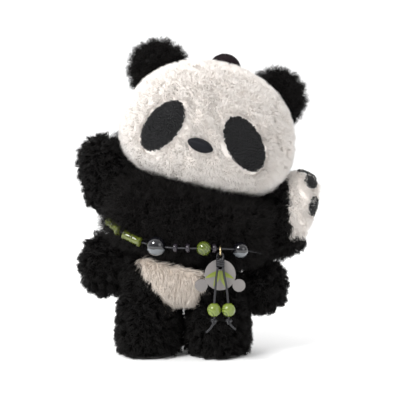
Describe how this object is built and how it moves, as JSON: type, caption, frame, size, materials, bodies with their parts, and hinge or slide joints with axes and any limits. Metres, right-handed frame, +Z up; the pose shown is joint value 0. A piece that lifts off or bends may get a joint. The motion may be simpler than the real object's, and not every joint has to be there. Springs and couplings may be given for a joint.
{
  "type": "plush panda",
  "caption": "Standing plush panda with jointed head, waist and arms, a glass bead string round the waist and a hanging charm with tassels.",
  "frame": {"origin": "on the ground, at the middle of the whole figure", "axes": "+Z up, front of the figure at -Y, +X to the right of someone facing it"},
  "size_m": [0.1388, 0.0798, 0.1843],
  "materials": {
    "cream_fur": "short cream plush pile",
    "fuzzy_fur": "fuzzy brown-black mohair pile",
    "black_fur": "curly black sherpa pile",
    "stuffing": "loose polyester fibre",
    "nylon": "moulded nylon",
    "embroidery": "raised black thread embroidery",
    "satin": "satin thread with a soft sheen",
    "felt": "dark plum felt",
    "cord": "black waxed braided cord",
    "green_glass": "striped green lampwork glass",
    "olive_glass": "olive lampwork glass",
    "ball_glass": "polished black and white",
    "spacer_glass": "dark plum seed bead",
    "gold": "polished",
    "acrylic": "frosted printed acrylic",
    "leaf": "printed leaf green with black edges"
  },
  "bodies": {
    "lower_body": {"torso_cover": "black_fur", "belly_panel": "cream_fur", "body_stuffing": "stuffing", "left_leg_cover": "black_fur", "right_leg_cover": "black_fur", "left_sole": "black_fur", "right_sole": "black_fur", "waist_stud": "nylon", "waist_lock_washer": "nylon"},
    "chest": {"chest_cover": "fuzzy_fur", "chest_stuffing": "stuffing", "waist_cord": "cord", "bamboo_bead_outer": "olive_glass", "bamboo_bead_inner": "olive_glass", "left_ball_bead": "ball_glass", "green_bead": "green_glass", "right_ball_bead": "ball_glass", "spacer_bead_1": "spacer_glass", "spacer_bead_2": "spacer_glass", "spacer_bead_3": "spacer_glass"},
    "head": {"head_front_cover": "cream_fur", "head_back_cover": "cream_fur", "head_stuffing": "stuffing", "left_ear": "fuzzy_fur", "right_ear": "fuzzy_fur", "left_eye_patch": "embroidery", "right_eye_patch": "embroidery", "nose": "satin", "crown_bobble": "felt", "neck_stud": "nylon", "neck_lock_washer": "nylon"},
    "left_raised_arm": {"left_raised_arm_cover": "black_fur", "left_raised_arm_palm": "cream_fur", "left_raised_arm_stuffing": "stuffing", "left_raised_arm_stud": "nylon", "left_raised_arm_lock_washer": "nylon"},
    "right_raised_arm": {"right_raised_arm_cover": "black_fur", "right_raised_arm_palm": "cream_fur", "right_raised_arm_stuffing": "stuffing", "right_raised_arm_stud": "nylon", "right_raised_arm_lock_washer": "nylon"},
    "left_lower_arm": {"left_lower_arm_cover": "black_fur", "left_lower_arm_stuffing": "stuffing", "left_lower_arm_stud": "nylon", "left_lower_arm_lock_washer": "nylon"},
    "right_lower_arm": {"right_lower_arm_cover": "black_fur", "right_lower_arm_stuffing": "stuffing", "right_lower_arm_stud": "nylon", "right_lower_arm_lock_washer": "nylon"},
    "jump_ring": {"jump_ring": "gold"},
    "charm": {"charm_cord_loop": "cord", "charm_plate": "acrylic", "leaf_spray": "leaf"},
    "left_tassel": {"left_tassel_cord": "cord", "left_glass_bead": "green_glass", "left_tassel_knot": "cord"},
    "right_tassel": {"right_tassel_cord": "cord", "right_glass_bead": "green_glass", "right_tassel_knot": "cord"}
  },
  "joints": [
    {"name": "waist_turn", "type": "hinge", "parent": "lower_body", "child": "chest", "pos_m": [-0.01317, 0.00193, 0.05465], "axis": [0.2368, 0, 0.9715], "range_deg": [-15, 15]},
    {"name": "head_turn", "type": "hinge", "parent": "chest", "child": "head", "pos_m": [-0.00275, 0.00193, 0.0974], "axis": [0.2368, 0, 0.9715], "range_deg": [-90, 90]},
    {"name": "left_raised_arm_swing", "type": "hinge", "parent": "chest", "child": "left_raised_arm", "pos_m": [-0.05207, 0.00193, 0.09605], "axis": [0.9715, 0, -0.2368], "range_deg": [-45, 90]},
    {"name": "right_raised_arm_swing", "type": "hinge", "parent": "chest", "child": "right_raised_arm", "pos_m": [0.04547, 0.00193, 0.07227], "axis": [0.9715, 0, -0.2368], "range_deg": [-45, 90]},
    {"name": "left_lower_arm_swing", "type": "hinge", "parent": "lower_body", "child": "left_lower_arm", "pos_m": [-0.05572, 0.00193, 0.052], "axis": [1, 0, 0], "range_deg": [-90, 45]},
    {"name": "right_lower_arm_swing", "type": "hinge", "parent": "lower_body", "child": "right_lower_arm", "pos_m": [0.03628, 0.00193, 0.038], "axis": [1, 0, 0], "range_deg": [-90, 45]},
    {"name": "ring_swing", "type": "hinge", "parent": "chest", "child": "jump_ring", "pos_m": [0.01122, -0.03276, 0.06509], "axis": [1, 0, 0], "range_deg": [-60, 0]},
    {"name": "charm_swing", "type": "hinge", "parent": "jump_ring", "child": "charm", "pos_m": [0.01122, -0.03276, 0.06124], "axis": [0, 1, 0], "range_deg": [-30, 30]},
    {"name": "left_tassel_swing", "type": "hinge", "parent": "charm", "child": "left_tassel", "pos_m": [0.00982, -0.03526, 0.05518], "axis": [0, 1, 0], "range_deg": [0, 25]},
    {"name": "right_tassel_swing", "type": "hinge", "parent": "charm", "child": "right_tassel", "pos_m": [0.01262, -0.03526, 0.0552], "axis": [0, 1, 0], "range_deg": [-25, 0]}
  ]
}
